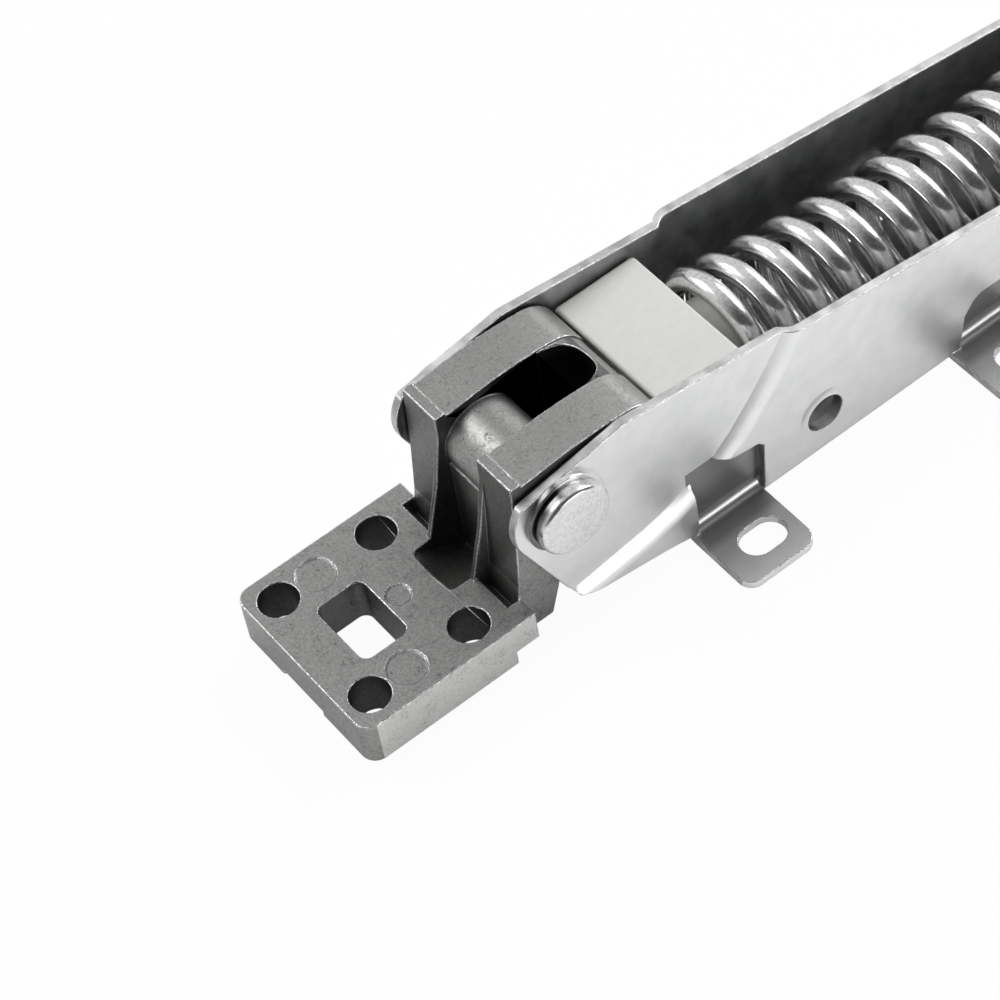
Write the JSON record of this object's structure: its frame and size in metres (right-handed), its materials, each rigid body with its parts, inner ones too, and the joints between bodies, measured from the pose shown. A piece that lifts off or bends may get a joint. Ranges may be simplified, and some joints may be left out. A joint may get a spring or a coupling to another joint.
{
  "type": "spring loaded lid hinge",
  "caption": "Spring loaded lid hinge: a die-cast arm with a cam turns on a pin in a folded steel channel and bears on a white slider and a heavy coil spring.",
  "frame": {"origin": "on the pivot pin's axis, at the middle of the hinge's width", "axes": "+X along the channel from the pin towards the spring, +Z out of the channel's open side, +Y across the hinge away from the pin's head"},
  "size_m": [0.189, 0.0568, 0.0342],
  "materials": {
    "zinc_sheet": "bright zinc plated, satin",
    "die_cast": "zinc alloy as cast and tumbled",
    "pin_steel": "turned and polished",
    "white_plastic": "moulded acetal, satin",
    "spring_steel": "bright plated wire"
  },
  "bodies": {
    "channel": {"housing": "zinc_sheet", "hinge_pin": "pin_steel", "spring": "spring_steel", "spring_seat": "white_plastic"},
    "arm": {"hinge_arm": "die_cast"},
    "slider": {"slider": "white_plastic"}
  },
  "joints": [
    {"name": "lid_hinge", "type": "hinge", "parent": "channel", "child": "arm", "pos_m": [0, 0, 0], "axis": [0, 1, 0], "range_deg": [0, 85]},
    {"name": "slider_travel", "type": "slide", "parent": "channel", "child": "slider", "axis": [-1, 0, 0], "range_m": [0, 0.0109], "deforming": ["spring"]}
  ],
  "couplings": [
    {"joint": "slider_travel", "follows": "lid_hinge", "m_per_rad": 0.00728}
  ]
}
